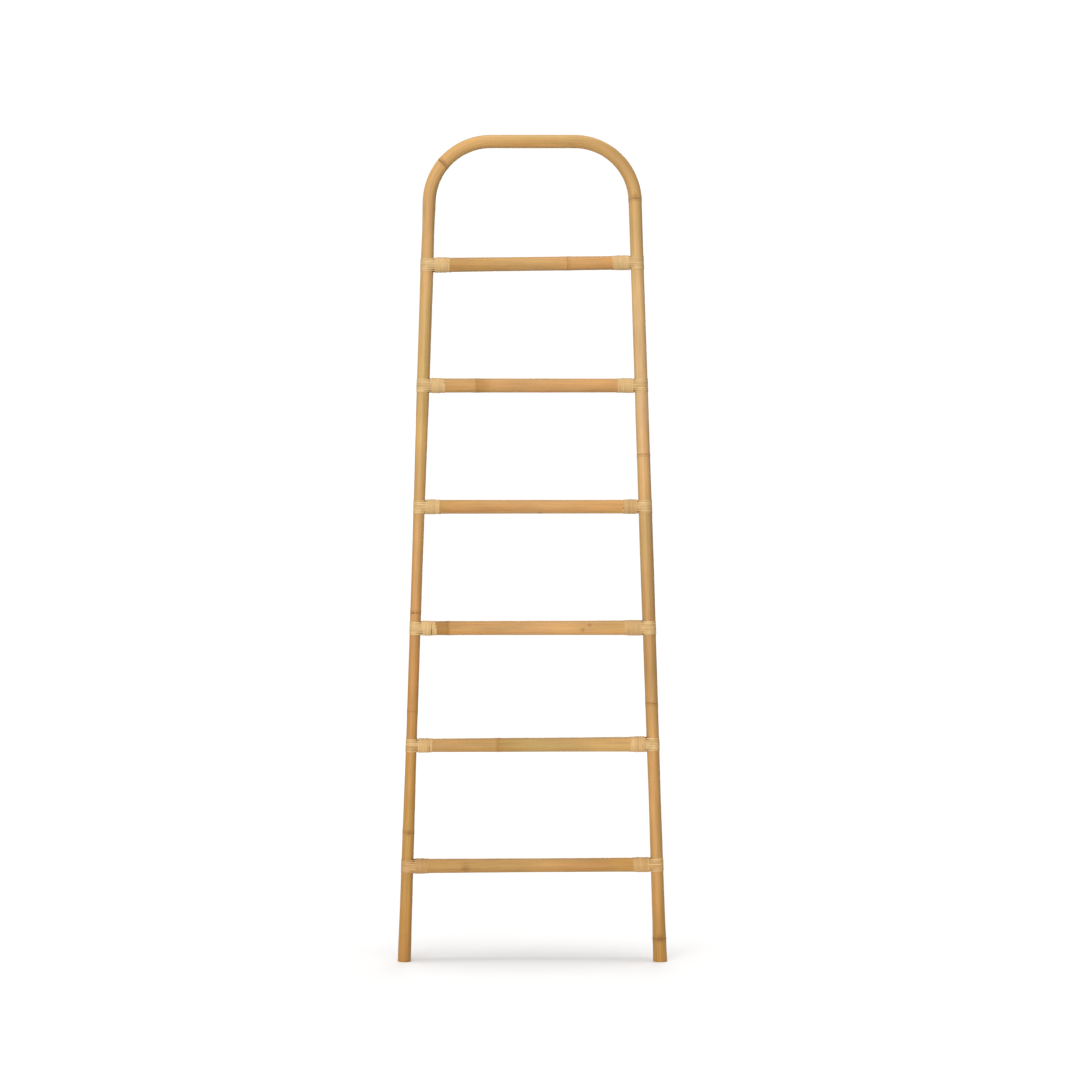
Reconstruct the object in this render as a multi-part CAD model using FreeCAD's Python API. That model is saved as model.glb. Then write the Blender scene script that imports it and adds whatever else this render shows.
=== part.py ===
"""Rattan ladder rack for hanging quilts, blankets and towels.

One long rattan pole is bent into a hoop that stands on its two cut ends. Six rattan
rungs run between its sides. Every rung is screwed through the hoop at both ends, and
each joint is bound with flat strips of rattan peel: eight strips lie side by side
round the outside of the hoop and run on along the rung, and a winding of the same
peel goes round the rung to hold them down.

Millimetres. X runs along the rungs, Y through the thickness (the front faces -Y) and
Z upwards. The origin is on the floor, midway between the two feet.
"""

import math
import os
from collections import namedtuple

import FreeCAD
import Part
from FreeCAD import Vector

# --- driving dimensions -------------------------------------------------------------

# the hoop
TOP_AXIS_HEIGHT = 1785.5  # the hoop's centre line over the straight top
FOOT_HALF_SPREAD = 278.7  # from the middle to each foot's centre, on the floor
STILE_SLOPE = 0.0329  # how far each side leans inwards for each mm of height
ARCH_DIAMETER = 29.0
BEND_RADIUS_LEFT = 134.0
BEND_RADIUS_RIGHT = 132.0
FOOT_BEVEL = 1.2

# (height, diameter) up each side: natural cane is never quite even
LEFT_DIAMETERS = [
    (0, 28.5), (130, 27.0), (250, 26.0), (330, 25.2), (420, 23.9), (500, 23.5),
    (600, 23.8), (700, 23.7), (850, 23.9), (1000, 24.8), (1150, 26.2),
    (1200, 27.5), (1300, 28.1), (1500, 28.5), (1600, 26.8),
]
RIGHT_DIAMETERS = [
    (0, 30.6), (40, 29.4), (100, 28.0), (250, 27.3), (350, 26.5), (500, 27.5),
    (700, 28.5), (800, 29.6), (900, 29.8), (1100, 29.2), (1300, 28.9), (1500, 28.4),
    (1600, 28.6),
]
LEFT_NODE_HEIGHTS = [281, 544, 758]
RIGHT_NODE_HEIGHTS = [50, 562, 1102]
# of the growth ring on each bend, above the horizontal
BEND_NODE_ANGLE_LEFT = 39.6
BEND_NODE_ANGLE_RIGHT = 2.9

# a growth ring, where a leaf once clasped the cane
NODE_HEIGHT = 0.45
NODE_HALF_CREST = 1.0
NODE_HALF_WIDTH = 3.5

# the rungs, from the top down: height and rise (left to right) of the centre line,
# diameters at the left end, middle and right end, growth rings along X, the length
# of each winding from the hoop's inner edge, and the brad's place round each winding
# in degrees from the front towards the top
Rung = namedtuple("Rung", "height rise diameters nodes windings brads")
RUNGS = [
    Rung(1519.0, 5.5, (31.2, 30.4, 29.8), [77.0], (38.0, 42.0), (-110.0, -115.0)),
    Rung(1254.0, 0.0, (30.9, 30.6, 30.2), [-122.0], (35.0, 40.0), (18.0, -120.0)),
    Rung(990.0, 0.5, (30.4, 30.0, 29.8), [], (35.0, 35.0), (-105.0, -12.0)),
    Rung(726.0, 1.0, (30.7, 31.2, 32.0), [-181.0], (36.0, 41.0), (8.0, -118.0)),
    Rung(471.5, 3.0, (29.1, 30.6, 32.4), [-75.0], (37.0, 38.0), (-122.0, -108.0)),
    Rung(209.0, 3.5, (31.3, 30.1, 30.7), [], (35.0, 41.0), (-112.0, -116.0)),
]
RUNG_SETBACK = 8.0  # from the hoop's centre line to the tips of the hollowed rung end

# the peel
PEEL_WIDTH = 3.45
PEEL_THICKNESS = 0.7
PEEL_PITCH = 3.64
SADDLE_STRIPS = 8
WINDING_START = 2.2  # from the bare hoop to the first turn
BARE_TURNS = 3  # turns at the outer end that lie straight on the rung
TURN_CROWN = 0.3
FIT = 0.05  # between pieces that touch

# the screws through the hoop into the rungs
SCREW_DIAMETER = 4.0
SCREW_LENGTH = 60.0
SCREW_HEAD_DIAMETER = 8.0
SCREW_HEAD_DEPTH = 2.4
SCREW_TIP = 6.0
SCREW_SINK = 0.9  # the head's depth below the hoop's outer face
SLOT_WIDTH = 1.1
SLOT_SPAN = 4.4
SLOT_DEPTH = 1.6
HOOP_HOLE_CLEARANCE = 0.3
RUNG_HOLE_CLEARANCE = 0.1

# the brads at the ends of the windings
BRAD_DIAMETER = 1.2
BRAD_LENGTH = 9.0
BRAD_HEAD_DIAMETER = 2.4
BRAD_HEAD_THICKNESS = 0.6
BRAD_HOLE_CLEARANCE = 0.1

# --- worked out from them -----------------------------------------------------------

LEFT = -1
RIGHT = 1
FRONT = Vector(0, -1, 0)
STILE_STRETCH = math.hypot(1.0, STILE_SLOPE)  # length along the side per mm of height
BEND_TURN = 90.0 - math.degrees(math.atan(STILE_SLOPE))
CORNER_HALF_SPREAD = FOOT_HALF_SPREAD - STILE_SLOPE * TOP_AXIS_HEIGHT
BEND_RADIUS = {LEFT: BEND_RADIUS_LEFT, RIGHT: BEND_RADIUS_RIGHT}
STILE_DIAMETERS = {LEFT: LEFT_DIAMETERS, RIGHT: RIGHT_DIAMETERS}
BEND_NODE_ANGLE = {LEFT: BEND_NODE_ANGLE_LEFT, RIGHT: BEND_NODE_ANGLE_RIGHT}
STILE_NODES = {LEFT: LEFT_NODE_HEIGHTS, RIGHT: RIGHT_NODE_HEIGHTS}
SIDE_NAME = {LEFT: "left", RIGHT: "right"}


def between(stations, position):
    """Read a value from (position, value) pairs, in a straight line between them."""
    if position <= stations[0][0]:
        return stations[0][1]
    for (low, start), (high, end) in zip(stations, stations[1:]):
        if position <= high:
            return start + (end - start) * (position - low) / (high - low)
    return stations[-1][1]


def eased(share):
    """Share of a twist that is done, starting and ending gently."""
    return share**3 * (10.0 - 15.0 * share + 6.0 * share**2)


def stile_radius(side, height):
    """Bare radius of one side of the hoop at a height."""
    return between(STILE_DIAMETERS[side], height) / 2.0


def stile_point(side, height):
    """Point on the centre line of one side of the hoop."""
    return Vector(side * (FOOT_HALF_SPREAD - STILE_SLOPE * height), 0, height)


def stile_direction(side):
    """Unit vector up one side of the hoop."""
    return Vector(-side * STILE_SLOPE, 0, 1).normalize()


def bend_tangent(side):
    """Length from the corner of the centre lines to where the bend begins."""
    return BEND_RADIUS[side] * math.tan(math.radians(BEND_TURN / 2.0))


def bend_start_height(side):
    """Height at which a side's straight run turns into the bend."""
    return TOP_AXIS_HEIGHT - bend_tangent(side) / STILE_STRETCH


def bend_centre(side):
    """Centre of one bend of the hoop."""
    x = side * (CORNER_HALF_SPREAD - bend_tangent(side))
    return Vector(x, 0, TOP_AXIS_HEIGHT - BEND_RADIUS[side])


def turned(origin, axis, across, outline):
    """Turn a closed outline of (along, radius) points about an axis."""
    points = [origin + axis * along + across * radius for along, radius in outline]
    face = Part.Face(Part.makePolygon(points + points[:1]))
    return face.revolve(origin, axis, 360.0)


def cane(origin, axis, across, stations, nodes, start, end, grow=0.0):
    """A straight length of cane with its uneven diameter and its growth rings.

    stations are (along, diameter) pairs and nodes are places along the axis.
    """
    marks = {start: 0.0, end: 0.0}
    for along, _ in stations:
        if start < along < end:
            marks[along] = 0.0
    for node in nodes:
        marks[node - NODE_HALF_WIDTH] = 0.0
        marks[node - NODE_HALF_CREST] = NODE_HEIGHT
        marks[node + NODE_HALF_CREST] = NODE_HEIGHT
        marks[node + NODE_HALF_WIDTH] = 0.0
    outline = [(start, 0.0)]
    for along in sorted(marks):
        radius = between(stations, along) / 2.0 + marks[along] + grow
        outline.append((along, radius))
    outline.append((end, 0.0))
    return turned(origin, axis, across, outline)


def stile(side, grow=0.0):
    """One straight side of the hoop, run on below the floor ready for trimming."""
    axis = stile_direction(side)
    across = FRONT
    scaled = [(z * STILE_STRETCH, d) for z, d in STILE_DIAMETERS[side]]
    end = bend_start_height(side) * STILE_STRETCH
    scaled.append((end, ARCH_DIAMETER))
    nodes = [z * STILE_STRETCH for z in STILE_NODES[side]]
    origin = stile_point(side, 0)
    return cane(origin, axis, across, scaled, nodes, -6.0, end, grow)


def bend(side):
    """One bend of the hoop, from the side round to the straight top."""
    start = stile_point(side, bend_start_height(side))
    circle = Part.makeCircle(ARCH_DIAMETER / 2.0, start, stile_direction(side))
    disc = Part.Face(Part.Wire(circle))
    return disc.revolve(bend_centre(side), Vector(0, -side, 0), BEND_TURN)


def bend_node(side):
    """The growth ring on a bend."""
    radius = BEND_RADIUS[side]
    angle = BEND_NODE_ANGLE[side]
    outwards = Vector(
        side * math.cos(math.radians(angle)), 0, math.sin(math.radians(angle))
    )
    along = Vector(outwards.z, 0, -outwards.x)
    middle = bend_centre(side) + outwards * radius
    inner = ARCH_DIAMETER / 2.0 - 0.2
    crest = ARCH_DIAMETER / 2.0 + NODE_HEIGHT
    outline = [
        (-NODE_HALF_WIDTH, 0.0),
        (-NODE_HALF_WIDTH, inner),
        (-NODE_HALF_CREST, crest),
        (NODE_HALF_CREST, crest),
        (NODE_HALF_WIDTH, inner),
        (NODE_HALF_WIDTH, 0.0),
    ]
    return turned(middle, along, FRONT, outline)


def bevel_feet(shape):
    """Take the sharp edge off the two cut ends."""
    rims = [edge for edge in shape.Edges if edge.BoundBox.ZMax < 0.01]
    return shape.makeChamfer(FOOT_BEVEL, rims)


class Joint:
    """Where one rung meets one side of the hoop.

    origin is where the two centre lines cross. Along the hoop the directions are
    inwards and upwards, and along the rung they are along and above.
    """

    def __init__(self, number, rung, side):
        self.rung = rung
        self.side = side
        self.name = f"{SIDE_NAME[side]}_{number}"
        slope = rung_slope(rung)
        lean = FOOT_HALF_SPREAD - STILE_SLOPE * rung.height
        x = side * lean / (1.0 + side * STILE_SLOPE * slope)
        self.origin = Vector(x, 0, rung.height + slope * x)
        self.upwards = stile_direction(side)
        self.inwards = Vector(-side, 0, -STILE_SLOPE).normalize()
        self.along = Vector(-side, 0, -side * slope).normalize()
        self.above = Vector(-slope, 0, 1).normalize()
        self.pole = max(
            stile_radius(side, self.origin.z + step) for step in (-15, 0, 15)
        )
        self.winding_end = self.pole + rung.windings[0 if side == LEFT else 1]
        self.winding_start = self.pole + WINDING_START
        self.turns = round((self.winding_end - self.winding_start) / PEEL_PITCH)
        self.pitch = (self.winding_end - self.winding_start) / self.turns
        self.tail_end = self.winding_end - (BARE_TURNS + 1) * self.pitch - 0.4
        self.stick = max(
            self.rung_radius(step) for step in (self.pole, self.winding_end)
        )
        corner = math.hypot(self.stick + FIT + PEEL_THICKNESS, PEEL_WIDTH / 2.0)
        self.over_tails = corner + FIT
        self.over_rung = self.rung_radius(self.winding_end)
        self.over_rung = max(self.over_rung, self.rung_radius(self.tail_end)) + FIT

    def rung_radius(self, reach):
        """Bare radius of the rung at a distance from the hoop's centre line."""
        x = self.origin.x + self.along.x * reach
        return between(rung_stations(self.rung), x) / 2.0

    def inner_radius(self, reach):
        """Inside of the winding: over the strip tails first, then down on the rung."""
        step = self.winding_end - (BARE_TURNS + 1) * self.pitch
        return between(
            [(step, self.over_tails), (step + self.pitch, self.over_rung)], reach
        )

    def round_rung(self, reach, degrees, radius):
        """Point round the rung, measured from the front towards the top."""
        angle = math.radians(degrees)
        out = FRONT * math.cos(angle) + self.above * math.sin(angle)
        return self.origin + self.along * reach + out * radius


def rung_slope(rung):
    """Rise of a rung for each mm along X."""
    return rung.rise / (2.0 * (FOOT_HALF_SPREAD - STILE_SLOPE * rung.height))


def rung_stations(rung):
    """(x, diameter) pairs along a rung."""
    reach = FOOT_HALF_SPREAD - STILE_SLOPE * rung.height
    return list(zip((-reach, 0.0, reach), rung.diameters))


def peel_section(middle, out, across):
    """Rectangular section of a strip: out is through it and across is over its width."""
    half_out = out * (PEEL_THICKNESS / 2.0)
    half_across = across * (PEEL_WIDTH / 2.0)
    corners = [
        middle - half_out - half_across,
        middle - half_out + half_across,
        middle + half_out + half_across,
        middle + half_out - half_across,
    ]
    return Part.makePolygon(corners + corners[:1])


def saddle_strip(joint, height):
    """One strip pulled tight round the outside of the hoop, its tails on the rung."""
    round_hoop = joint.pole + FIT + PEEL_THICKNESS / 2.0
    round_stick = joint.stick + FIT + PEEL_THICKNESS / 2.0
    tilt = math.asin(height / round_stick)
    depth = round_stick * math.cos(tilt)
    edge_depth = depth + PEEL_WIDTH / 2.0 * math.sin(abs(tilt))
    over_lip = edge_depth > round_hoop
    touch = RUNG_SETBACK if over_lip else joint.winding_start - 0.6
    leave = math.atan2(depth, touch) + math.acos(
        round_hoop / math.hypot(depth, touch)
    )

    out = joint.inwards * math.cos(leave) + FRONT * math.sin(leave)
    foot = joint.origin + joint.upwards * height
    start = foot + out * round_hoop
    section = Part.Face(peel_section(start, out, joint.upwards))
    sweep = joint.side * (360.0 - 2.0 * math.degrees(leave))
    strip = section.revolve(foot, joint.upwards, sweep)

    tails = []
    for face in (FRONT, FRONT * -1):
        out = joint.inwards * math.cos(leave) + face * math.sin(leave)
        start = foot + out * round_hoop
        rest = face * math.cos(tilt) + joint.above * math.sin(tilt)
        end = joint.origin + joint.along * touch + rest * round_stick
        sections = [peel_section(start, out, joint.upwards)]
        for share in (0.25, 0.5, 0.75, 1.0):
            turn = tilt * eased(share)
            level = face * math.cos(turn) + joint.above * math.sin(turn)
            width = joint.above * math.cos(turn) - face * math.sin(turn)
            middle = start + (end - start) * share
            sections.append(peel_section(middle, level, width))
        last = end + joint.along * (joint.tail_end - touch)
        sections.append(peel_section(last, level, width))
        tails.append(Part.makeLoft(sections, True, True))
    return strip.fuse(tails)


def saddle(joint):
    """The strips of one joint, side by side up the hoop."""
    middle = (SADDLE_STRIPS - 1) / 2.0
    heights = [(row - middle) * PEEL_PITCH for row in range(SADDLE_STRIPS)]
    return Part.makeCompound([saddle_strip(joint, height) for height in heights])


def winding(joint):
    """The turns of peel round the rung, as one ridged sleeve."""

    def at(reach, radius):
        return joint.origin + joint.along * reach + FRONT * radius

    outer = []
    for turn in range(joint.turns):
        low = joint.winding_start + turn * joint.pitch
        middle = low + joint.pitch / 2.0
        high = low + joint.pitch
        edge = PEEL_THICKNESS - TURN_CROWN
        outer.append(
            Part.Arc(
                at(low, joint.inner_radius(low) + edge),
                at(middle, joint.inner_radius(middle) + PEEL_THICKNESS),
                at(high, joint.inner_radius(high) + edge),
            ).toShape()
        )
    step = joint.winding_end - (BARE_TURNS + 1) * joint.pitch
    inner = [
        at(joint.winding_end, joint.inner_radius(joint.winding_end)),
        at(step + joint.pitch, joint.over_rung),
        at(step, joint.over_tails),
        at(joint.winding_start, joint.over_tails),
    ]
    first = outer[0].Vertexes[0].Point
    last = outer[-1].Vertexes[-1].Point
    rest = Part.makePolygon([last] + inner + [first]).Edges
    face = Part.Face(Part.Wire(Part.__sortEdges__(outer + rest)))
    sleeve = face.revolve(joint.origin, joint.along, 360.0)
    return sleeve.cut(brad_hole(joint))


def brad_place(joint):
    """Centre of the brad's head seat on the last turn, and the way it points out."""
    reach = joint.winding_end - joint.pitch / 2.0
    degrees = joint.rung.brads[0 if joint.side == LEFT else 1]
    crown = joint.inner_radius(reach) + PEEL_THICKNESS + FIT
    seat = joint.round_rung(reach, degrees, crown)
    axis = joint.origin + joint.along * reach
    return seat, (seat - axis).normalize()


def brad_hole(joint):
    """Space that a brad takes in the winding and the rung."""
    seat, out = brad_place(joint)
    radius = (BRAD_DIAMETER + BRAD_HOLE_CLEARANCE) / 2.0
    depth = BRAD_LENGTH + 1.0
    return Part.makeCylinder(radius, depth + 2.0, seat - out * depth, out)


def brad(joint):
    """A small brad with a low domed head."""
    seat, out = brad_place(joint)
    across = joint.along
    stem = [
        (-BRAD_LENGTH, 0.0),
        (-BRAD_LENGTH + BRAD_DIAMETER, BRAD_DIAMETER / 2.0),
        (0.0, BRAD_DIAMETER / 2.0),
        (0.0, BRAD_HEAD_DIAMETER / 2.0),
        (BRAD_HEAD_THICKNESS / 2.0, BRAD_HEAD_DIAMETER / 2.0),
        (BRAD_HEAD_THICKNESS, BRAD_HEAD_DIAMETER / 3.0),
        (BRAD_HEAD_THICKNESS, 0.0),
    ]
    return turned(seat, out, across, stem)


def screw(joint):
    """Countersunk wood screw, from the outside of the hoop into the rung's end."""
    head = SCREW_HEAD_DIAMETER / 2.0
    shank = SCREW_DIAMETER / 2.0
    outline = [
        (0.0, 0.0),
        (0.0, head),
        (0.3, head),
        (SCREW_HEAD_DEPTH, shank),
        (SCREW_LENGTH - SCREW_TIP, shank),
        (SCREW_LENGTH, 0.0),
    ]
    top = joint.origin - joint.along * (joint.pole - SCREW_SINK)
    body = turned(top, joint.along, FRONT, outline)
    for across in (FRONT, joint.above):
        other = joint.above if across == FRONT else FRONT
        corner = top - across * (SLOT_SPAN / 2.0) - other * (SLOT_WIDTH / 2.0)
        points = [
            corner,
            corner + across * SLOT_SPAN,
            corner + across * SLOT_SPAN + other * SLOT_WIDTH,
            corner + other * SLOT_WIDTH,
        ]
        slot = Part.Face(Part.makePolygon(points + points[:1]))
        body = body.cut(slot.extrude(joint.along * SLOT_DEPTH))
    return body


def screw_hole(joint, clearance, run_out):
    """Space for a screw: shank, sunk head and the way in from outside."""
    head = (SCREW_HEAD_DIAMETER + clearance) / 2.0
    shank = (SCREW_DIAMETER + clearance) / 2.0
    outline = [
        (-run_out, 0.0),
        (-run_out, head),
        (0.3, head),
        (SCREW_HEAD_DEPTH, shank),
        (SCREW_LENGTH - SCREW_TIP, shank),
        (SCREW_LENGTH + clearance, 0.0),
    ]
    top = joint.origin - joint.along * (joint.pole - SCREW_SINK)
    return turned(top, joint.along, FRONT, outline)


def hoop_pole(joints):
    """The one bent pole, trimmed at the floor and drilled for the screws."""
    pieces = [stile(RIGHT)]
    for side in (LEFT, RIGHT):
        pieces += [bend(side), bend_node(side)]
    left_end = bend_centre(LEFT).x
    span = bend_centre(RIGHT).x - left_end
    start = Vector(left_end, 0, TOP_AXIS_HEIGHT)
    pieces.append(Part.makeCylinder(ARCH_DIAMETER / 2.0, span, start, Vector(1, 0, 0)))
    pole = stile(LEFT).fuse(pieces)
    below = Part.makeBox(700, 100, 50, Vector(-350, -50, -50))
    pole = bevel_feet(pole.cut(below))
    return pole.cut([screw_hole(joint, HOOP_HOLE_CLEARANCE, 4.0) for joint in joints])


def rung_pole(rung, joints):
    """A rung, hollowed at both ends to sit against the hoop and drilled."""
    slope = rung_slope(rung)
    axis = Vector(1, 0, slope).normalize()
    across = FRONT
    middle = Vector(0, 0, rung.height)
    stretch = math.hypot(1.0, slope)
    ends = [(joint.origin - middle).dot(axis) for joint in joints]
    start = min(ends) + RUNG_SETBACK
    end = max(ends) - RUNG_SETBACK
    stations = [(x * stretch, d) for x, d in rung_stations(rung)]
    body = cane(middle, axis, across, stations, rung.nodes, start, end)
    tools = [stile(LEFT, FIT), stile(RIGHT, FIT)]
    tools += [screw_hole(joint, RUNG_HOLE_CLEARANCE, 0.0) for joint in joints]
    tools += [brad_hole(joint) for joint in joints]
    return body.cut(tools)


def save(name, shape):
    """Write one piece to its own file."""
    if not shape.isValid():
        raise RuntimeError(f"{name} is not a valid shape")
    shape.exportStep(f"parts/{name}.step")


def main():
    """Build every piece and write it out."""
    os.makedirs("parts", exist_ok=True)
    pairs = []
    for number, rung in enumerate(RUNGS, start=1):
        pairs.append([Joint(number, rung, side) for side in (LEFT, RIGHT)])
    joints = [joint for pair in pairs for joint in pair]

    save("hoop_pole", hoop_pole(joints))
    for number, (rung, pair) in enumerate(zip(RUNGS, pairs), start=1):
        save(f"rung_{number}", rung_pole(rung, pair))
    save("frame_screws", Part.makeCompound([screw(joint) for joint in joints]))
    for joint in joints:
        save(f"peel_saddle_{joint.name}", saddle(joint))
        save(f"peel_winding_{joint.name}", winding(joint))
    save("binding_brads", Part.makeCompound([brad(joint) for joint in joints]))


main()
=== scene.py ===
"""Rattan ladder rack: the finished look of every cane, peel binding, screw and brad.

A cane hoop stands on its two cut feet and carries six rungs. Each joint is bound with
flat rattan peel: eight strips side by side round the outside of the hoop, and a winding
round the rung that holds their tails. Metres, with X along the rungs, the front facing
-Y and Z up. The origin is on the floor, midway between the feet.
"""

import logging
import math
import random
from collections.abc import Callable, Sequence
from dataclasses import dataclass, field
from enum import Enum
from typing import TypeVar

import bmesh
import bpy
from mathutils import Matrix, Vector, noise


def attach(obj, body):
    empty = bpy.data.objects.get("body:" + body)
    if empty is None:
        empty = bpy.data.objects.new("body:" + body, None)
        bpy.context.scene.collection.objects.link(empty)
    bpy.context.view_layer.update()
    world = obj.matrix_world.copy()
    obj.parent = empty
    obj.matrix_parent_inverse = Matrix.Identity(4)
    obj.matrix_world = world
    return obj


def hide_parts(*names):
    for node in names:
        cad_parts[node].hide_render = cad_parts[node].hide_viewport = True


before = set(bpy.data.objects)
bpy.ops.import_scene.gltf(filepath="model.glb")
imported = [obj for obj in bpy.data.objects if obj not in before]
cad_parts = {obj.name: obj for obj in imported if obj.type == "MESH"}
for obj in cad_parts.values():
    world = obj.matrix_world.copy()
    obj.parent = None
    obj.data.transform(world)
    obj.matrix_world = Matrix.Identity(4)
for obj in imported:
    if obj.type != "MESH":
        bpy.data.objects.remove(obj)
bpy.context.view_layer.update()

MM = 0.001
FRONT = Vector((0.0, -1.0, 0.0))
NOISE_SPAN = (0.3, 0.7)  # nearly all of a noise pattern's values lie between these
Colour = tuple[float, float, float, float]
Value = TypeVar("Value")
STEEL_SCREWS = "frame_screws"
STEEL_BRADS = "binding_brads"

log = logging.getLogger("rattan_rack")


class Side(Enum):
    """The two sides of the rack, with the sign of their place along X."""

    LEFT = -1
    RIGHT = 1

    @property
    def word(self) -> str:
        """The side's name as the pieces have it."""
        return self.name.lower()


def sides(left: Value, right: Value) -> dict[Side, Value]:
    """A value for each side."""
    return {Side.LEFT: left, Side.RIGHT: right}


class Mark(Enum):
    """The names of what the materials read from a mesh's points."""

    GRAIN = "grain"  # place in the cane's own fibre directions, metres
    SHARE = "share"  # how far along the piece, 0 to 1
    SCAR = "scar"  # dark line of a growth ring, 0 to 1
    TONE = "tone"  # how light this strip of peel is, 0 to 1
    EDGE = "edge"  # 1 at the cut edges of a strip, 0 on its skin, and 1 as painted shade beside a slipped turn's gap


class Lay(Enum):
    """How a coat of colour is laid over another."""

    SHADE = "MULTIPLY"
    COVER = "MIX"


# how it is laid, how much of it there is, and its colour
Coat = tuple[Lay, bpy.types.NodeSocket | float, bpy.types.NodeSocket | Colour]


# --- colours and nodes --------------------------------------------------------------


def linear(code: str) -> Colour:
    """Turn an sRGB hex colour into the linear values that sockets take.

    Args:
        code: a colour such as "#C8955A".

    Returns:
        Linear red, green, blue and an alpha of 1.
    """
    channels = [int(code[place : place + 2], 16) / 255.0 for place in (1, 3, 5)]
    turned = [
        value / 12.92 if value <= 0.04045 else ((value + 0.055) / 1.055) ** 2.4
        for value in channels
    ]
    return (turned[0], turned[1], turned[2], 1.0)


def grey(value: float) -> Colour:
    """An even grey as a linear colour."""
    return (value, value, value, 1.0)


def add(
    tree: bpy.types.NodeTree,
    kind: str,
    inputs: dict | None = None,
    stops: Sequence[tuple[float, Colour]] = (),
    **settings,
) -> bpy.types.Node:
    """Add one node with its settings, and set or link its inputs.

    Args:
        tree: the node tree it goes in.
        kind: the node's type name.
        inputs: input name or number to a plain value or another node's output.
        stops: position and colour of each stop, where the node is a colour ramp.
        settings: the node's own properties.

    Returns:
        The new node.
    """
    node = tree.nodes.new(kind)
    for name, value in settings.items():
        setattr(node, name, value)
    for name, value in (inputs or {}).items():
        if isinstance(value, bpy.types.NodeSocket):
            tree.links.new(value, node.inputs[name])
        else:
            node.inputs[name].default_value = value
    if stops:
        elements = node.color_ramp.elements
        for element, stop in zip(elements, (stops[0], stops[-1])):
            element.position, element.color = stop
        for position, colour in stops[1:-1]:
            elements.new(position).color = colour
    return node


def blank_material(name: str) -> tuple[bpy.types.Material, bpy.types.NodeTree]:
    """Make a material with an empty node tree.

    Args:
        name: the material's name.

    Returns:
        The material and its tree.
    """
    material = bpy.data.materials.new(name)
    material.use_nodes = True
    material.node_tree.nodes.clear()
    return material, material.node_tree


def mottled(
    name: str, kind: str, pattern: dict, stops: Sequence[tuple[float, Colour]], surface: dict
) -> bpy.types.Material:
    """Make a material of two colours that a fine pattern mixes.

    Args:
        name: the material's name.
        kind: the pattern's node type.
        pattern: its inputs.
        stops: where in the pattern each colour lies.
        surface: the shader's inputs apart from its colour.

    Returns:
        The finished material.
    """
    material, tree = blank_material(name)
    where = add(tree, "ShaderNodeTexCoord").outputs["Object"]
    mix = add(tree, kind, {"Vector": where, **pattern}).outputs[0]
    colour = add(tree, "ShaderNodeValToRGB", {"Fac": mix}, stops).outputs["Color"]
    shader = add(tree, "ShaderNodeBsdfPrincipled", {"Base Color": colour, **surface})
    add(tree, "ShaderNodeOutputMaterial", {"Surface": shader.outputs[0]})
    return material


# --- finishes -----------------------------------------------------------------------


@dataclass(frozen=True)
class Stain:
    """A brown bruise or water mark in the cane's skin."""

    place: tuple[float, float, float]
    reach: float
    strength: float


@dataclass(frozen=True)
class Grain:
    """One pattern drawn out along the fibres, and how far it darkens and lightens."""

    width: float
    length: float
    octaves: float
    dark: float = 1.0
    light: float = 1.0


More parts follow.
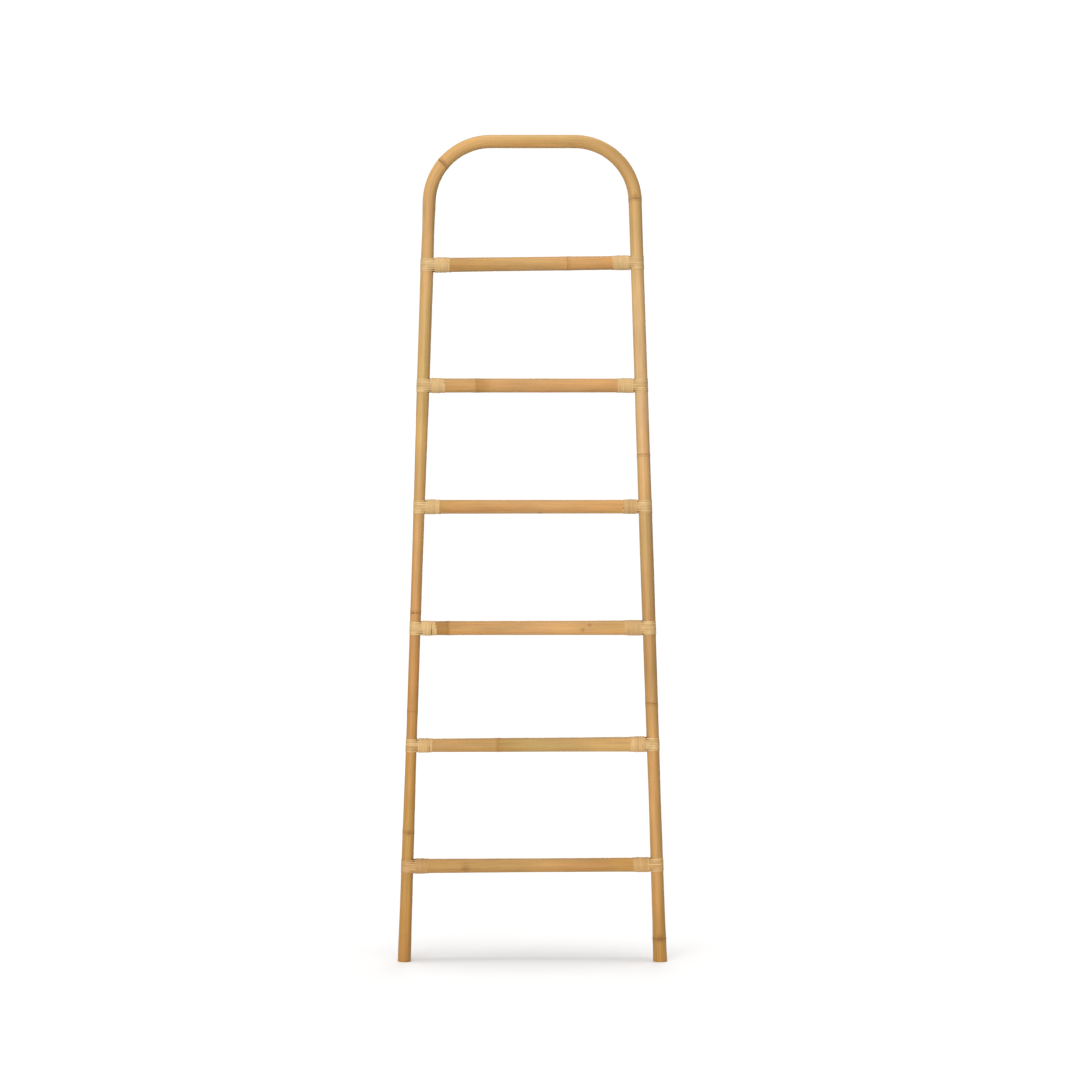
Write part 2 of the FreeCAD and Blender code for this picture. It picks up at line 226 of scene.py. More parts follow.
@dataclass(frozen=True)
class CaneSkin:
    """Rattan pole, steamed and bent with its skin on, under a thin clear lacquer.

    The skin gives a satin straw to honey colour with fine fibres along the cane, slow
    changes of tone from one length to the next, brown flecks, and dark growth rings.
    """

    name: str
    tones: tuple[tuple[float, str], ...] = ()
    stains: tuple[Stain, ...] = ()
    # real fibres are about 0.3 mm wide: these are drawn three times as coarse, to show
    fibre: Grain = Grain(0.9 * MM, 70.0 * MM, 3.0, 0.86, 1.12)
    streak: Grain = Grain(5.0 * MM, 260.0 * MM, 4.0, 0.87, 1.11)
    patch: Grain = Grain(45.0 * MM, 135.0 * MM, 2.0, 0.89, 1.10)
    ribbon: Grain = Grain(8.5 * MM, 260.0 * MM, 2.0)
    fleck: Grain = Grain(5.0 * MM, 12.5 * MM, 5.0)
    scar_colour: str = "#6F4A26"
    stain_colour: str = "#7A4A22"
    warm_tint: Colour = (1.035, 0.975, 0.95, 1.0)
    olive_tint: Colour = (0.975, 1.015, 0.99, 1.0)
    fleck_cover: float = 0.55
    satin: tuple[float, float] = (0.42, 0.56)  # roughness of the light and dark streaks
    shine: float = 0.22
    grain_strength: float = 0.5
    grain_depth: float = 0.12 * MM

    @staticmethod
    def pattern(tree: bpy.types.NodeTree, grain: Grain) -> bpy.types.NodeSocket:
        """Noise drawn out along the cane.

        Args:
            tree: the material's node tree.
            grain: the pattern's size and fineness.

        Returns:
            A value from 0 to 1, mostly within NOISE_SPAN.
        """
        fibres = add(tree, "ShaderNodeAttribute", attribute_name=Mark.GRAIN.value)
        scale = (1.0 / grain.width, 1.0 / grain.width, 1.0 / grain.length)
        drawn = add(
            tree, "ShaderNodeMapping", {"Vector": fibres.outputs["Vector"], "Scale": scale}
        )
        inputs = {"Vector": drawn.outputs["Vector"], "Scale": 1.0, "Detail": grain.octaves}
        noisy = add(tree, "ShaderNodeTexNoise", {**inputs, "Roughness": 0.6})
        return noisy.outputs["Fac"]

    def coat(
        self, tree: bpy.types.NodeTree, colour: bpy.types.NodeSocket, coats: Sequence[Coat]
    ) -> bpy.types.NodeSocket:
        """Lay coats over a colour, one after another.

        Args:
            tree: the material's node tree.
            colour: what lies underneath.
            coats: how each is laid, how much of it there is, and its colour.

        Returns:
            The colour on top.
        """
        for mode, amount, over in coats:
            inputs = {0: amount, 6: colour, 7: over}
            mixed = add(
                tree, "ShaderNodeMix", inputs, data_type="RGBA", blend_type=mode.value
            )
            colour = mixed.outputs[2]
        return colour

    def shaded(
        self, tree: bpy.types.NodeTree, patterns: dict[Grain, bpy.types.NodeSocket]
    ) -> list[Coat]:
        """The coats that darken and lighten a colour by some patterns.

        Args:
            tree: the material's node tree.
            patterns: the noise of each grain.

        Returns:
            One coat for each pattern.
        """
        coats = []
        for grain, noisy in patterns.items():
            greys = list(zip(NOISE_SPAN, (grey(grain.dark), grey(grain.light))))
            shade = add(tree, "ShaderNodeValToRGB", {"Fac": noisy}, greys)
            coats.append((Lay.SHADE, 1.0, shade.outputs["Color"]))
        return coats

    def lacquer(
        self,
        tree: bpy.types.NodeTree,
        colour: bpy.types.NodeSocket,
        fine: bpy.types.NodeSocket,
        rough: bpy.types.NodeSocket | float,
    ) -> None:
        """Finish the material with a clear satin surface over its colour.

        Args:
            tree: the material's node tree.
            colour: the colour under the lacquer.
            fine: the fibres that show as a slight relief.
            rough: how matt it is.
        """
        strength = {"Strength": self.grain_strength, "Distance": self.grain_depth}
        relief = add(tree, "ShaderNodeBump", {"Height": fine, **strength})
        inputs = {"Base Color": colour, "Roughness": rough, "IOR": 1.45}
        inputs |= {"Normal": relief.outputs["Normal"], "Specular IOR Level": self.shine}
        shader = add(tree, "ShaderNodeBsdfPrincipled", inputs)
        add(tree, "ShaderNodeOutputMaterial", {"Surface": shader.outputs[0]})

    def make(self) -> bpy.types.Material:
        """Build the material.

        Returns:
            The finished material.
        """
        material, tree = blank_material(self.name)
        share = add(tree, "ShaderNodeAttribute", attribute_name=Mark.SHARE.value)
        tones = [(place, linear(code)) for place, code in self.tones]
        base = add(tree, "ShaderNodeValToRGB", {"Fac": share.outputs["Fac"]}, tones)
        grains = (self.streak, self.patch, self.fibre)
        patterns = {grain: self.pattern(tree, grain) for grain in grains}
        streaks = patterns[self.streak]
        coats = self.shaded(tree, patterns)

        ribbons = self.pattern(tree, self.ribbon)
        tints = [(0.38, self.warm_tint), (0.62, self.olive_tint)]
        tint = add(tree, "ShaderNodeValToRGB", {"Fac": ribbons}, tints)
        coats.append((Lay.SHADE, 1.0, tint.outputs["Color"]))

        brown = linear(self.stain_colour)
        flecks = self.pattern(tree, self.fleck)
        covers = [(0.26, grey(self.fleck_cover)), (0.33, grey(0.0))]
        spots = add(tree, "ShaderNodeValToRGB", {"Fac": flecks}, covers)
        coats.append((Lay.COVER, spots.outputs["Color"], brown))
        for stain in self.stains:
            coats.append((Lay.COVER, self.stained(tree, stain, streaks), brown))

        scar = add(tree, "ShaderNodeAttribute", attribute_name=Mark.SCAR.value)
        span = {"Value": streaks, "From Min": 0.36, "From Max": 0.6}
        broken = add(tree, "ShaderNodeMapRange", {**span, "To Min": 0.3, "To Max": 1.0})
        factors = {0: scar.outputs["Fac"], 1: broken.outputs["Result"]}
        ring = add(tree, "ShaderNodeMath", factors, operation="MULTIPLY")
        coats.append((Lay.COVER, ring.outputs[0], linear(self.scar_colour)))

        span = {"Value": streaks, "From Min": NOISE_SPAN[0], "From Max": NOISE_SPAN[1]}
        ends = {"To Min": self.satin[0], "To Max": self.satin[1]}
        rough = add(tree, "ShaderNodeMapRange", {**span, **ends})
        colour = self.coat(tree, base.outputs["Color"], coats)
        self.lacquer(tree, colour, patterns[self.fibre], rough.outputs["Result"])
        return material

    @staticmethod
    def stained(
        tree: bpy.types.NodeTree, stain: Stain, breakup: bpy.types.NodeSocket
    ) -> bpy.types.NodeSocket:
        """How much one stain covers, ragged along the fibres.

        Args:
            tree: the material's node tree.
            stain: the stain's place, reach and strength.
            breakup: a pattern that frays the stain's edge.

        Returns:
            A value from 0 to the stain's strength.
        """
        where = add(tree, "ShaderNodeTexCoord")
        points = {0: where.outputs["Object"], 1: stain.place}
        away = add(tree, "ShaderNodeVectorMath", points, operation="DISTANCE")
        terms = {0: breakup, 1: stain.reach, 2: away.outputs["Value"]}
        frayed = add(tree, "ShaderNodeMath", terms, operation="MULTIPLY_ADD")
        span = {"From Min": stain.reach * 0.7, "From Max": stain.reach * 1.5}
        ends = {"To Min": stain.strength, "To Max": 0.0}
        inputs = {"Value": frayed.outputs[0], **span, **ends}
        return add(tree, "ShaderNodeMapRange", inputs).outputs["Result"]


@dataclass(frozen=True)
class CanePeel(CaneSkin):
    """Rattan peel: flat strips split from the cane's skin, for binding.

    It is paler and a little glossier than the pole, with straight fibres along the
    strip, and its split edges show the duller, browner inside of the skin. The same
    brown is laid as painted shade beside the gap of a slipped turn.
    """

    light_colour: str = "#D2AF79"
    dark_colour: str = "#AD8552"
    edge_and_shade_colour: str = "#8A6234"
    # drawn a little coarser than the real 0.3 mm fibres, to show on so narrow a strip
    fibre: Grain = Grain(0.5 * MM, 30.0 * MM, 3.0, 0.86, 1.12)
    patch: Grain = Grain(12.0 * MM, 40.0 * MM, 3.0, 0.88, 1.10)
    shine: float = 0.25
    grain_strength: float = 0.3
    grain_depth: float = 0.08 * MM

    def make(self) -> bpy.types.Material:
        """Build the material.

        Returns:
            The finished material.
        """
        material, tree = blank_material(self.name)
        tone = add(tree, "ShaderNodeAttribute", attribute_name=Mark.TONE.value)
        ends = [(0.0, linear(self.dark_colour)), (1.0, linear(self.light_colour))]
        base = add(tree, "ShaderNodeValToRGB", {"Fac": tone.outputs["Fac"]}, ends)
        patterns = {grain: self.pattern(tree, grain) for grain in (self.fibre, self.patch)}
        coats = self.shaded(tree, patterns)
        # the brown of the split edges, also laid as painted shade beside a slipped turn's gap
        edge = add(tree, "ShaderNodeAttribute", attribute_name=Mark.EDGE.value)
        covers = [(0.55, grey(0.0)), (1.0, grey(0.85))]
        split = add(tree, "ShaderNodeValToRGB", {"Fac": edge.outputs["Fac"]}, covers)
        coats.append((Lay.COVER, split.outputs["Color"], linear(self.edge_and_shade_colour)))
        colour = self.coat(tree, base.outputs["Color"], coats)
        self.lacquer(tree, colour, patterns[self.fibre], 0.46)
        return material


@dataclass(frozen=True)
class CutCane:
    """Sawn rattan end grain: pale pith full of fine pores, dirty from the floor."""

    name: str = "rattan_sawn_end_grain"
    pith_colour: str = "#B89468"
    pore_colour: str = "#5E4326"
    pore_spacing: float = 1.1 * MM

    def make(self) -> bpy.types.Material:
        """Build the material.

        Returns:
            The finished material.
        """
        pores = {"Scale": 1.0 / self.pore_spacing}
        stops = [(0.12, linear(self.pore_colour)), (0.3, linear(self.pith_colour))]
        return mottled(self.name, "ShaderNodeTexVoronoi", pores, stops, {"Roughness": 0.85})


@dataclass(frozen=True)
class Steel:
    """Drawn steel wire stock, plated or left to darken, with a fine uneven tarnish."""

    name: str
    light_colour: str
    dark_colour: str
    roughness: float
    tarnish_size: float = 1.5 * MM

    def make(self) -> bpy.types.Material:
        """Build the material.

        Returns:
            The finished material.
        """
        tarnish = {"Scale": 1.0 / self.tarnish_size, "Detail": 4.0}
        stops = [(0.35, linear(self.dark_colour)), (0.65, linear(self.light_colour))]
        surface = {"Metallic": 1.0, "Roughness": self.roughness}
        return mottled(self.name, "ShaderNodeTexNoise", tarnish, stops, surface)


# --- running a section along a path -------------------------------------------------


@dataclass
class Stop:
    """One place on a path. In place, x goes across, y outwards and z along the path."""

    place: Matrix
    along: float
    share: float = 0.0
    radius: float = 1.0


@dataclass
class Surface:
    """A mesh being made, with the marks that its material reads."""

    bm: bmesh.types.BMesh = field(default_factory=bmesh.new)

    def __post_init__(self) -> None:
        """Give every point its marks before any geometry is made."""
        layers = self.bm.verts.layers
        self.point = layers.int.new("section_point")
        self.grain = layers.float_vector.new(Mark.GRAIN.value)
        self.marks = {
            mark: layers.float.new(mark.value)
            for mark in (Mark.SHARE, Mark.SCAR, Mark.TONE, Mark.EDGE)
        }

    def run(
        self,
        cap: bmesh.types.BMFace,
        stops: Sequence[Stop],
        settle: Callable[[bmesh.types.BMVert, Vector, Stop], None],
    ) -> None:
        """Extrude a capped section from stop to stop.

        Args:
            cap: the section, a single face drawn in X and Y.
            stops: the places that it passes through.
            settle: puts one point of the section at one stop and marks it.
        """
        points = [vert.co.copy() for vert in cap.verts]
        for number, vert in enumerate(cap.verts):
            vert[self.point] = number
        for stop in stops:
            if stop is not stops[0]:
                grown = bmesh.ops.extrude_face_region(self.bm, geom=[cap])["geom"]
                cap = next(g for g in grown if isinstance(g, bmesh.types.BMFace))
            for vert in cap.verts:
                settle(vert, points[vert[self.point]], stop)

    def finish(
        self, name: str, node: str, slot: str, *materials: bpy.types.Material
    ) -> bpy.types.Object:
        """Turn the mesh into a finished piece at the origin.

        Args:
            name: the piece's name.
            node: the CAD node that it takes the place of.
            slot: the record's material slot; not used.
            materials: its materials in order.

        Returns:
            The piece's object.
        """
        bmesh.ops.recalc_face_normals(self.bm, faces=self.bm.faces)
        for face in self.bm.faces:
            face.smooth = len(face.verts) <= 4
        for edge in self.bm.edges:
            edge.smooth = all(face.smooth for face in edge.link_faces)
        mesh = bpy.data.meshes.new(name)
        self.bm.verts.layers.int.remove(self.point)
        self.bm.to_mesh(mesh)
        self.bm.free()
        for material in materials:
            mesh.materials.append(material)
        piece = bpy.data.objects.new(name, mesh)
        bpy.context.scene.collection.objects.link(piece)
        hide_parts(node)
        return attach(piece, "root")


def between(stations: Sequence[tuple[float, float]], place: float) -> float:
    """Read a value from (place, value) pairs, eased from one pair to the next.

    Args:
        stations: the pairs in rising order.
        place: where to read.

    Returns:
        The value there.
    """
    if place <= stations[0][0]:
        return stations[0][1]
    for (low, start), (high, end) in zip(stations, stations[1:]):
        if place <= high:
            share = (place - low) / (high - low)
            return start + (end - start) * share * share * (3.0 - 2.0 * share)
    return stations[-1][1]


def aim(point: Vector, out: Vector, along: Vector) -> Matrix:
    """A place on a path from its point and two of its directions.

    Args:
        point: where it is.
        out: roughly outwards.
        along: the way the path goes.

    Returns:
        A matrix whose x is across, y outwards and z along.
    """
    z = along.normalized()
    x = out.cross(z).normalized()
    y = z.cross(x)
    place = Matrix((x, y, z)).transposed().to_4x4()
    place.translation = point
    return place


def stops_through(points: Sequence[tuple[Vector, Vector]]) -> list[Stop]:
    """Turn (point, outwards) pairs into stops.

    Args:
        points: the strip's centre line and which way its skin faces.

    Returns:
        A stop at each point, turned along the line.
    """
    made = []
    along = 0.0
    for number, (point, out) in enumerate(points):
        before = points[max(0, number - 1)][0]
        after = points[min(len(points) - 1, number + 1)][0]
        along += (point - before).length
        made.append(Stop(aim(point, out, after - before), along))
    return made


# --- the canes ----------------------------------------------------------------------

Ring = tuple[float, float]  # a growth ring's place and its darkness


@dataclass(frozen=True)
class Hump:
    """A smooth rise across a growth ring, its place counted from the ring."""

    height: float
    place: float
    reach: float

    def at(self, off: float) -> float:
        """How high it is at a distance from the ring."""
        return self.height * math.exp(-(((off - self.place) / self.reach) ** 2))


@dataclass
class Cane:
    """What a length of rattan pole has in common, straight or bent."""

    rings: Sequence[Ring]
    seed: int
    grain_start: float = 0.0  # where in the cane's fibres this length begins, metres
    grain_radius: float = 14.0 * MM
    facets: int = 48
    step: float = 7.0 * MM
    ring_steps: int = 22  # finer steps on each side of a ring, closest at the ring
    ring_reach: float = 14.0 * MM
    unevenness: float = 0.16 * MM
    uneven_length: float = 50.0 * MM
    uneven_round: float = 1.2  # how quickly it changes round the cane
    ring_slant: float = 1.3 * MM  # growth rings run round the cane at a slight slant
    ring_wobble: float = 1.4 * MM
    wobble_round: float = 2.0
    ring_turn: float = 2.1  # radians from one ring's slant to the next one's
    relief: tuple[Hump, ...] = (
        Hump(0.30 * MM, 0.0, 9.0 * MM),  # the whole cane swells
        Hump(0.28 * MM, 1.2 * MM, 1.3 * MM),  # the crest where a leaf sheath was
        Hump(-0.30 * MM, -0.9 * MM, 0.7 * MM),  # the groove under the crest
    )
    scar: tuple[Hump, ...] = (
        Hump(1.0, -0.9 * MM, 1.4 * MM),  # the dark line in the groove
        Hump(0.35, 3.2 * MM, 2.4 * MM),  # a faint shade past the crest
    )

    def places(self, start: float, end: float) -> list[float]:
        """Places from start to end, with finer ones on both sides of each growth ring.

        Args:
            start: the first place.
            end: the last place.

        Returns:
            The places in rising order.
        """
        count = max(2, round((end - start) / self.step))
        places = {round(start + (end - start) * i / count, 6) for i in range(count + 1)}
        for ring, _ in self.rings:
            for i in range(-self.ring_steps, self.ring_steps + 1):
                share = abs(i / self.ring_steps) ** 1.5
                place = ring + math.copysign(share, i) * self.ring_reach
                if start < place < end:
                    places.add(round(place, 6))
        return sorted(places)

    def skin(self, along: float, angle: float) -> tuple[float, float]:
        """Height of the skin over an even cane, and how dark its scar is.

        Args:
            along: place along the cane.
            angle: place round the cane.

        Returns:
            Extra radius in metres, and the scar's strength from 0 to 1.
        """
        across = Vector((math.cos(angle), math.sin(angle), 0.0))
        drift = across * self.uneven_round
        drift.z = along / self.uneven_length + self.seed
        height = noise.noise(drift) * self.unevenness
        scar = 0.0
        for number, (ring, darkness) in enumerate(self.rings):
            turn = self.seed + number * self.ring_turn
            wobble = across * self.wobble_round
            wobble.z = turn
            off = along - ring + self.ring_slant * math.cos(angle - turn)
            off += self.ring_wobble * noise.noise(wobble)
            height += sum(hump.at(off) for hump in self.relief)
            scar = max(scar, darkness * max(hump.at(off) for hump in self.scar))
        return height, scar

    def build(self, surface: Surface, stops: Sequence[Stop]) -> None:
        """Run a round section along the stops and mark its points.

        Args:
            surface: the mesh to add to.
            stops: places along the cane, each with its radius.
        """
        circle = bmesh.ops.create_circle(
            surface.bm, cap_ends=True, radius=1.0, segments=self.facets
        )
        cap = circle["verts"][0].link_faces[0]

        def settle(vert: bmesh.types.BMVert, point: Vector, stop: Stop) -> None:
            """Put one point of the round on the cane's skin.

            Args:
                vert: the point in the mesh.
                point: the point in the section.
                stop: the place along the cane.
            """
            angle = math.atan2(point.y, point.x)
            height, scar = self.skin(stop.along, angle)
            radius = stop.radius + height
            vert.co = stop.place @ (point * radius)
            vert[surface.grain] = (
                point.x * self.grain_radius,
                point.y * self.grain_radius,
                stop.along + self.grain_start,
            )
            vert[surface.marks[Mark.SHARE]] = stop.share
            vert[surface.marks[Mark.SCAR]] = scar

        surface.run(cap, stops, settle)


@dataclass
class Hoop:
    """The one long bent pole: two splayed sides, two bends and a straight top."""

    top_height: float = 1785.5 * MM
    foot_half_spread: float = 278.7 * MM
    slope: float = 0.0329
    bend_radius: dict[Side, float] = field(
        default_factory=lambda: sides(134.0 * MM, 132.0 * MM)
    )
    top_diameter: float = 29.0
    # height and diameter up the sides, in millimetres
    left_diameters: Sequence[tuple[float, float]] = (
        (0, 28.5), (130, 27.0), (250, 26.0), (330, 25.2), (420, 23.9), (500, 23.5),
        (600, 23.8), (700, 23.7), (850, 23.9), (1000, 24.8), (1150, 26.2),
        (1200, 27.5), (1300, 28.1), (1500, 28.5), (1600, 26.8),
    )
    right_diameters: Sequence[tuple[float, float]] = (
        (0, 30.6), (40, 29.4), (100, 28.0), (250, 27.3), (350, 26.5), (500, 27.5),
        (700, 28.5), (800, 29.6), (900, 29.8), (1100, 29.2), (1300, 28.9),
        (1500, 28.4), (1600, 28.6),
    )
    # each growth ring up the sides, its place a height in millimetres
    left_rings: Sequence[Ring] = ((281.0, 0.5), (544.0, 0.3), (760.0, 1.0))
    right_rings: Sequence[Ring] = ((1102.0, 0.65), (562.0, 0.85), (51.0, 0.9))
    # the one on each bend, its place in degrees above the horizontal
    bend_rings: dict[Side, Ring] = field(
        default_factory=lambda: sides((39.6, 1.0), (2.9, 0.8))
    )
    below_floor: float = 6.0 * MM
    foot_bevel: float = 1.2 * MM

    @property
    def stretch(self) -> float:
        """Length along a side for each metre of height."""
        return math.hypot(1.0, self.slope)

    @property
    def turn(self) -> float:
        """Angle of each bend in radians."""
        return math.pi / 2.0 - math.atan(self.slope)

    def axis_point(self, side: Side, height: float) -> Vector:
        """Point on the centre line of one side."""
        return Vector((side.value * (self.foot_half_spread - self.slope * height), 0, height))

    def up(self, side: Side) -> Vector:
        """Unit vector up one side."""
        return Vector((-side.value * self.slope, 0, 1)).normalized()

    def tangent(self, side: Side) -> float:
        """Length from the corner of the centre lines to where the bend begins."""
        return self.bend_radius[side] * math.tan(self.turn / 2.0)

    def bend_start(self, side: Side) -> float:
        """Height where a side turns into its bend."""
        return self.top_height - self.tangent(side) / self.stretch

    def bend_centre(self, side: Side) -> Vector:
        """Centre of one bend."""
        out = self.foot_half_spread - self.slope * self.top_height - self.tangent(side)
        return Vector((side.value * out, 0, self.top_height - self.bend_radius[side]))

    def radius(self, side: Side, height: float) -> float:
        """Bare radius of one side at a height.

        Args:
            side: which side.
            height: metres above the floor.

        Returns:
            The radius in metres.
        """
        table = self.left_diameters if side is Side.LEFT else self.right_diameters
        table = [*table, (self.bend_start(side) / MM, self.top_diameter)]
        return between(table, height / MM) / 2.0 * MM

    def lengths(self) -> tuple[float, float, float, float, float]:
        """Lengths of the five stretches of the pole.

        Returns:
            Left side, left bend, top, right bend and right side, in metres.
        """
        left = self.bend_start(Side.LEFT) * self.stretch
        right = self.bend_start(Side.RIGHT) * self.stretch
        top = self.bend_centre(Side.RIGHT).x - self.bend_centre(Side.LEFT).x
        left_bend = self.bend_radius[Side.LEFT] * self.turn
        right_bend = self.bend_radius[Side.RIGHT] * self.turn
        return left, left_bend, top, right_bend, right

    def bend(self, side: Side, lean: float) -> tuple[Vector, Vector]:
        """A place on the centre line of one bend.

        Args:
            side: which bend.
            lean: how far the pole has turned from upright there, radians.

        Returns:
            The point, and the way along the pole.
        """
        way = Vector((math.sin(lean), 0, math.cos(lean)))
        out = Vector((-way.z, 0, way.x))
        return self.bend_centre(side) + out * self.bend_radius[side], way

    def stop(self, along: float) -> Stop:
        """The place on the hoop at a length from the left foot.

        Args:
            along: metres from the left foot's centre.

        Returns:
            The stop there.
        """
        left, left_bend, top, right_bend, right = self.lengths()
        share = min(1.0, max(0.0, along / sum(self.lengths())))
        radius = self.top_diameter / 2.0 * MM
        if along <= left:
            height = along / self.stretch
            point, way = self.axis_point(Side.LEFT, height), self.up(Side.LEFT)
            radius = self.radius(Side.LEFT, height)
        elif (rest := along - left) <= left_bend:
            lean = math.atan(self.slope) + rest / self.bend_radius[Side.LEFT]
            point, way = self.bend(Side.LEFT, lean)
        elif (rest := rest - left_bend) <= top:
            point = Vector((self.bend_centre(Side.LEFT).x + rest, 0, self.top_height))
            way = Vector((1, 0, 0))
        elif (rest := rest - top) <= right_bend:
            lean = math.pi / 2.0 + rest / self.bend_radius[Side.RIGHT]
            point, way = self.bend(Side.RIGHT, lean)
        else:
            height = (right - (rest - right_bend)) / self.stretch
            point, way = self.axis_point(Side.RIGHT, height), -self.up(Side.RIGHT)
            radius = self.radius(Side.RIGHT, height)
        return Stop(aim(point, FRONT, way), along, share, radius)

    def rings(self) -> list[Ring]:
        """All the growth rings along the pole.

        Returns:
            The rings in order, each place a length from the left foot.
        """
        left, left_bend, top, _, _ = self.lengths()
        scale = MM * self.stretch
        found = [(height * scale, dark) for height, dark in self.left_rings]
        starts = {
            Side.LEFT: (left, -math.atan(self.slope), 1.0),
            Side.RIGHT: (left + left_bend + top, math.pi / 2.0, -1.0),
        }
        for side, (start, turned, sense) in starts.items():
            angle, dark = self.bend_rings[side]
            turned += sense * math.radians(angle)
            found.append((start + self.bend_radius[side] * turned, dark))
        total = sum(self.lengths())
        return found + [(total - height * scale, dark) for height, dark in self.right_rings]

    def build(self, skin: CaneSkin, sawn: CutCane) -> bpy.types.Object:
        """Build the pole, saw its feet level with the floor and ease their edges.

        Args:
            skin: the finish of the pole.
            sawn: the finish of its cut feet.

        Returns:
            The finished piece.
        """
        surface = Surface()
        total = sum(self.lengths())
        cane = Cane(rings=self.rings(), seed=3)
        places = cane.places(-self.below_floor, total + self.below_floor)
        cane.build(surface, [self.stop(place) for place in places])
        self.saw_feet(surface.bm)
        finishes = (skin.make(), sawn.make())
        return surface.finish("hoop_cane", "hoop_pole", "cane_hoop", *finishes)

    def saw_feet(self, bm: bmesh.types.BMesh) -> None:
        """Cut the pole level with the floor, close the cuts and bevel their rims.

        Args:
            bm: the pole's mesh, its ends below the floor.
        """
        bmesh.ops.bisect_plane(
            bm,
            geom=bm.verts[:] + bm.edges[:] + bm.faces[:],
            dist=1e-7,
            plane_co=(0, 0, 0),
            plane_no=(0, 0, 1),
            clear_inner=True,
        )
        rims = [edge for edge in bm.edges if edge.is_boundary]
        soles = bmesh.ops.holes_fill(bm, edges=rims, sides=0)["faces"]
        for sole in soles:
            sole.material_index = 1
        bmesh.ops.bevel(
            bm,
            geom=[edge for sole in soles for edge in sole.edges],
            offset=self.foot_bevel,
            segments=3,
            profile=0.5,
            affect="EDGES",
            material=-1,
        )


@dataclass
class Rung:
    """One round rung between the hoop's sides, its lengths in millimetres."""

    number: int  # from the top down
    height: float  # of its middle
    rise: float  # from the left end to the right one
    diameters: tuple[float, float, float]  # left, middle and right
    rings: Sequence[Ring]  # their places along X
    windings: dict[Side, float]  # how far they reach past the pole's surface
    brads: dict[Side, float]  # degrees round the rung, upwards from its front
    tones: tuple[tuple[float, str], ...]  # along the rung from left to right
    peel_tones: dict[Side, tuple[float, float]]  # of the winding and of the saddle
    peel_lines: dict[Side, float]  # how plainly the edges of the turns show
    stains: tuple[Stain, ...] = ()
    slips: dict[Side, float] = field(default_factory=dict)  # the turn that has slipped
    setback: float = 8.0 * MM
    gap_shade_colour: str = "#54371D"  # painted shade in the gap beside the hoop
    gap_shade_share: float = 0.021  # how much of the rung's length is as dark as that
    gap_shade_fade: float = 0.005

    def slope(self, hoop: Hoop) -> float:
        """Rise for each metre along X."""
        return self.rise * MM / (2.0 * self.reach(hoop))

    def reach(self, hoop: Hoop) -> float:
        """Distance from the middle to the hoop's centre line."""
        return hoop.foot_half_spread - hoop.slope * self.height * MM

    def radius(self, hoop: Hoop, x: float) -> float:
        """Bare radius at a place along X."""
        stations = list(zip((-self.reach(hoop), 0.0, self.reach(hoop)), self.diameters))
        return between(stations, x) / 2.0 * MM

    def build(self, hoop: Hoop) -> bpy.types.Object:
        """Build the rung.

        Args:
            hoop: the pole that it stands between.

        Returns:
            The finished piece.
        """
        surface = Surface()
        slope = self.slope(hoop)
        middle = Vector((0, 0, self.height * MM))
        way = Vector((1, 0, slope)).normalized()
        reach = self.reach(hoop) - self.setback
        rings = [(x * MM, dark) for x, dark in self.rings]
        # metres apart in the fibres, so that no two rungs have the same flecks
        cane = Cane(rings=rings, seed=11 + 7 * self.number, grain_start=7.3 * self.number)
        stops = []
        for x in cane.places(-reach, reach):
            share = (x + reach) / (2.0 * reach)
            place = aim(middle + way * x, FRONT, way)
            stops.append(Stop(place, x, share, self.radius(hoop, x)))
        cane.build(surface, stops)
        # painted shade: both ends of the rung are coloured dark where they sit in the gap
        # beside the hoop
        clear = self.gap_shade_share + self.gap_shade_fade
        tones = (
            (0.0, self.gap_shade_colour),
            (self.gap_shade_share, self.gap_shade_colour),
            (clear, self.tones[0][1]),
            *self.tones[1:-1],
            (1.0 - clear, self.tones[-1][1]),
            (1.0 - self.gap_shade_share, self.gap_shade_colour),
            (1.0, self.gap_shade_colour),
        )
        skin = CaneSkin(f"rattan_rung_{self.number}_skin", tones, self.stains)
        node = f"rung_{self.number}"
        return surface.finish(f"{node}_cane", node, "cane_rung", skin.make())


# --- the bindings -------------------------------------------------------------------


